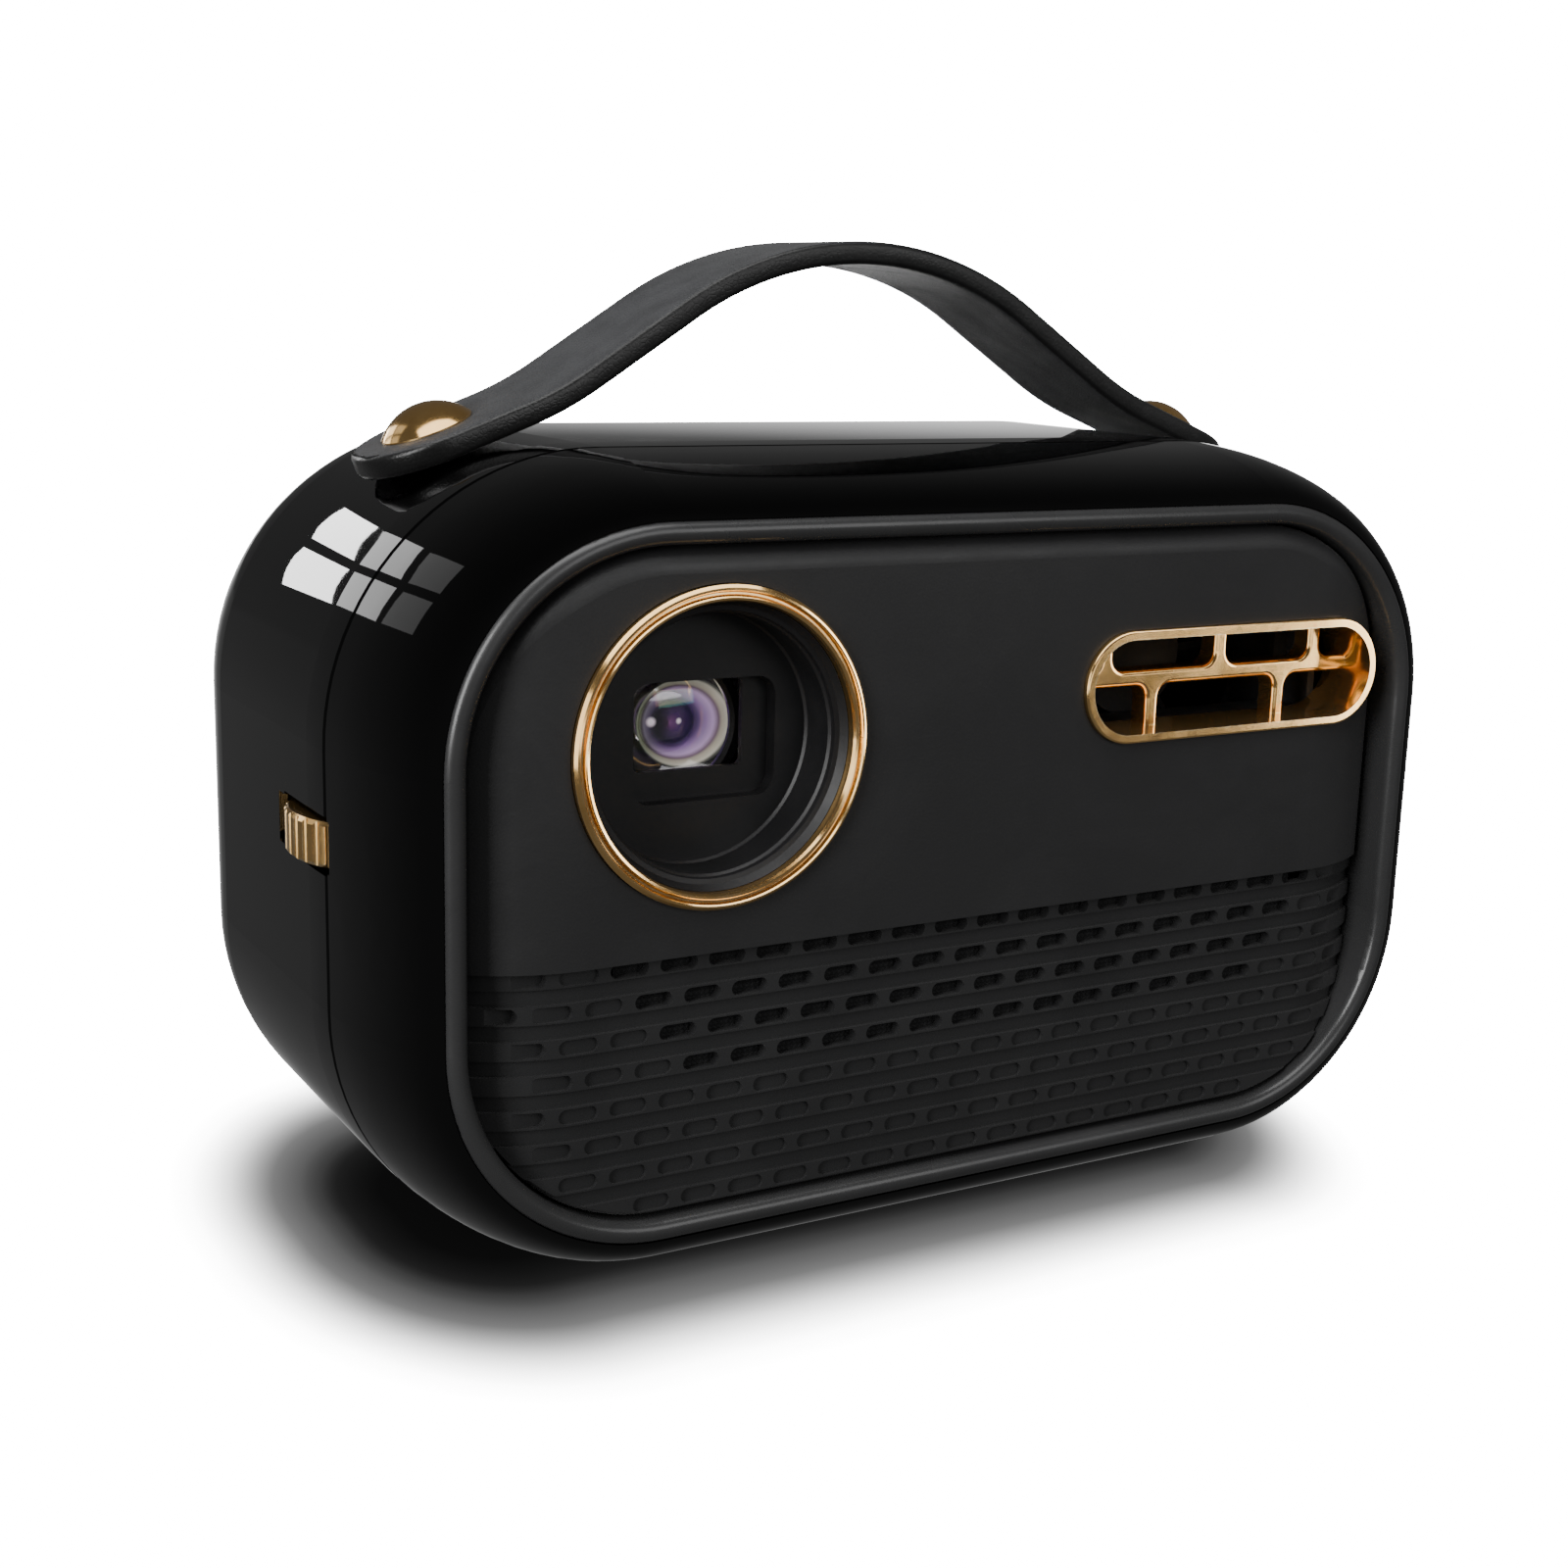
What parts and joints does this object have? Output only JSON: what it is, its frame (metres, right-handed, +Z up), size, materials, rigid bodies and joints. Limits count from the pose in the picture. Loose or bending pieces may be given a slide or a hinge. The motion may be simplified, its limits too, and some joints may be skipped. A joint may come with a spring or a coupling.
{
  "type": "home projector",
  "caption": "Portable home projector with a rounded gloss case, gold lens ring and air outlet, side focus wheel, leather strap handle and internal optics, fan and speaker.",
  "frame": {"origin": "on the table under the middle of the case, between the rubber feet", "axes": "+X to the right seen from the front, -Y the way the lens looks, +Z up"},
  "size_m": [0.1618, 0.0817, 0.1292],
  "materials": {
    "gloss_shell": "piano black gloss",
    "satin_bezel": "satin black",
    "soft_panel": "soft-touch matt charcoal",
    "gold_plate": "polished rose gold plating",
    "tunnel_black": "fine matt black",
    "leather_black": "smooth dark leather",
    "optical_glass": "coated lens glass",
    "dichroic_glass": "dichroic coating",
    "black_rubber": "matt rubber",
    "brass_insert": "turned brass",
    "steel_zinc": "bright zinc",
    "engine_aluminium": "cast and blasted",
    "sink_aluminium": "extruded",
    "inner_plastic": "moulded grain",
    "white_nylon": "natural nylon",
    "board_green": "solder mask",
    "chip_black": "moulded epoxy",
    "socket_steel": "stamped shell",
    "port_satin": "satin black",
    "key_plastic": "satin black",
    "infrared_tint": "dark red tint",
    "cell_sleeve": "shrink sleeve",
    "cone_paper": "coated paper",
    "magnet_ferrite": "dark ferrite",
    "mesh_fabric": "acoustic mesh",
    "switch_steel": "stamped"
  },
  "bodies": {
    "case": {"battery_cells": "cell_sleeve", "battery_holder": "inner_plastic", "bezel_ring": "satin_bezel", "board_chips": "chip_black", "case_posts": "inner_plastic", "case_screws": "steel_zinc", "chassis_tray": "inner_plastic", "condenser_lenses": "optical_glass", "data_socket": "socket_steel", "deck_pillars": "brass_insert", "deck_screws": "steel_zinc", "dichroic_plates": "dichroic_glass", "engine_housing": "engine_aluminium", "engine_lid": "engine_aluminium", "fan_frame": "inner_plastic", "front_panel": "soft_panel", "front_shell": "gloss_shell", "guide_rods": "steel_zinc", "handle_strap": "leather_black", "heat_sink": "sink_aluminium", "infrared_window": "infrared_tint", "key_board": "board_green", "key_switches": "switch_steel", "led_boards": "sink_aluminium", "lens_ring": "gold_plate", "lens_tunnel": "tunnel_black", "main_board": "board_green", "mid_deck": "inner_plastic", "port_plate": "port_satin", "power_socket": "chip_black", "rear_shell": "gloss_shell", "rivet_caps": "gold_plate", "rivet_nuts": "steel_zinc", "rivet_posts": "steel_zinc", "rod_clamps": "inner_plastic", "rubber_feet": "black_rubber", "small_data_socket": "socket_steel", "sound_socket": "chip_black", "speaker_basket": "inner_plastic", "speaker_cone": "cone_paper", "speaker_magnet": "magnet_ferrite", "speaker_mesh": "mesh_fabric", "tripod_insert": "brass_insert", "vent_duct": "inner_plastic", "vent_grille": "gold_plate", "video_socket": "socket_steel", "wheel_axle": "steel_zinc"},
    "focus_wheel": {"focus_wheel": "gold_plate", "focus_pinion": "white_nylon"},
    "lens_group": {"lens_carriage": "inner_plastic", "lens_barrel": "tunnel_black", "front_lens": "optical_glass", "middle_lens": "optical_glass", "rear_lens": "optical_glass", "focus_rack": "white_nylon"},
    "fan_rotor": {"fan_impeller": "inner_plastic"},
    "power_button": {"power_button": "key_plastic"},
    "volume_down_key": {"volume_down_key": "key_plastic"},
    "volume_up_key": {"volume_up_key": "key_plastic"},
    "menu_key": {"menu_key": "key_plastic"}
  },
  "joints": [
    {"name": "focus_turn", "type": "hinge", "parent": "case", "child": "focus_wheel", "pos_m": [-0.0683, -0.011, 0.057], "axis": [0, 0, 1], "range_deg": [-7, 40]},
    {"name": "lens_travel", "type": "slide", "parent": "case", "child": "lens_group", "axis": [0, 1, 0], "range_m": [-0.0006, 0.0034]},
    {"name": "fan_spin", "type": "hinge", "parent": "case", "child": "fan_rotor", "pos_m": [0.03985, -0.012, 0.073], "axis": [0, 1, 0], "continuous": true},
    {"name": "power_button_press", "type": "slide", "parent": "case", "child": "power_button", "axis": [0, -1, 0], "range_m": [0, 0.0005], "stiffness_N_per_m": 1200, "springref_m": -0.0003},
    {"name": "volume_down_key_press", "type": "slide", "parent": "case", "child": "volume_down_key", "axis": [0, -1, 0], "range_m": [0, 0.0005], "stiffness_N_per_m": 1200, "springref_m": -0.0003},
    {"name": "volume_up_key_press", "type": "slide", "parent": "case", "child": "volume_up_key", "axis": [0, -1, 0], "range_m": [0, 0.0005], "stiffness_N_per_m": 1200, "springref_m": -0.0003},
    {"name": "menu_key_press", "type": "slide", "parent": "case", "child": "menu_key", "axis": [0, -1, 0], "range_m": [0, 0.0005], "stiffness_N_per_m": 1200, "springref_m": -0.0003}
  ],
  "couplings": [
    {"joint": "lens_travel", "follows": "focus_turn", "m_per_rad": 0.0048}
  ]
}
